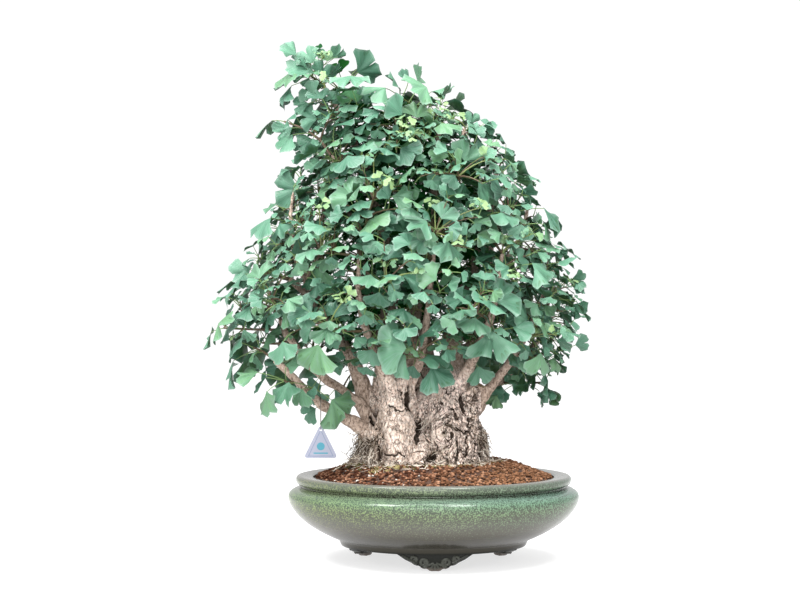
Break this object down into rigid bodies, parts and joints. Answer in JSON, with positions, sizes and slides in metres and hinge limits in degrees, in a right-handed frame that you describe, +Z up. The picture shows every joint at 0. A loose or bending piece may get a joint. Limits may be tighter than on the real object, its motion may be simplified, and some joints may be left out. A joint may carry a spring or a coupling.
{
  "type": "ginkgo bonsai",
  "caption": "Old stump of fused ginkgo trunks with fan-shaped leaves on thin shoots, in a round glazed pot filled with baked-clay soil.",
  "frame": {"origin": "on the floor, under the middle of the whole tree's box; the pot's axis is 48 mm to the +X side of it", "axes": "+Z up, the front faces -Y, +X to the viewer's right"},
  "size_m": [0.513, 0.392, 0.6941],
  "materials": {
    "glaze": "glossy speckled green ceramic glaze",
    "soil": "loose reddish-brown baked-clay grains",
    "bark": "rough, deeply furrowed bark",
    "leaf": "satin green leaves with fine radiating veins",
    "tag": "pale satin plastic, no print",
    "tie": "thin dark wire"
  },
  "bodies": {
    "root": {"pot": "glaze", "soil": "soil", "trunk": "bark", "tag_plate": "tag", "tag_wire": "tie", "leaf_spray_01": "leaf", "leaf_spray_02": "leaf", "leaf_spray_03": "leaf", "leaf_spray_04": "leaf", "leaf_spray_05": "leaf", "leaf_spray_06": "leaf", "leaf_spray_07": "leaf", "leaf_spray_08": "leaf", "leaf_spray_09": "leaf", "leaf_spray_10": "leaf", "leaf_spray_11": "leaf", "leaf_spray_12": "leaf", "leaf_spray_13": "leaf", "leaf_spray_14": "leaf", "leaf_spray_15": "leaf", "leaf_spray_16": "leaf", "leaf_spray_17": "leaf", "leaf_spray_18": "leaf", "leaf_spray_19": "leaf", "leaf_spray_20": "leaf", "leaf_spray_21": "leaf", "leaf_spray_22": "leaf", "leaf_spray_23": "leaf", "leaf_spray_24": "leaf", "leaf_spray_25": "leaf", "leaf_spray_26": "leaf", "leaf_spray_27": "leaf", "leaf_spray_28": "leaf", "leaf_spray_29": "leaf", "leaf_spray_30": "leaf", "leaf_spray_31": "leaf", "leaf_spray_32": "leaf", "leaf_spray_33": "leaf", "leaf_spray_34": "leaf", "leaf_spray_35": "leaf", "leaf_spray_36": "leaf", "leaf_spray_37": "leaf", "leaf_spray_38": "leaf", "leaf_spray_39": "leaf", "leaf_spray_40": "leaf", "leaf_spray_41": "leaf", "leaf_spray_42": "leaf", "leaf_spray_43": "leaf", "leaf_spray_44": "leaf", "leaf_spray_45": "leaf", "leaf_spray_46": "leaf", "leaf_spray_47": "leaf", "leaf_spray_48": "leaf"}
  },
  "joints": []
}
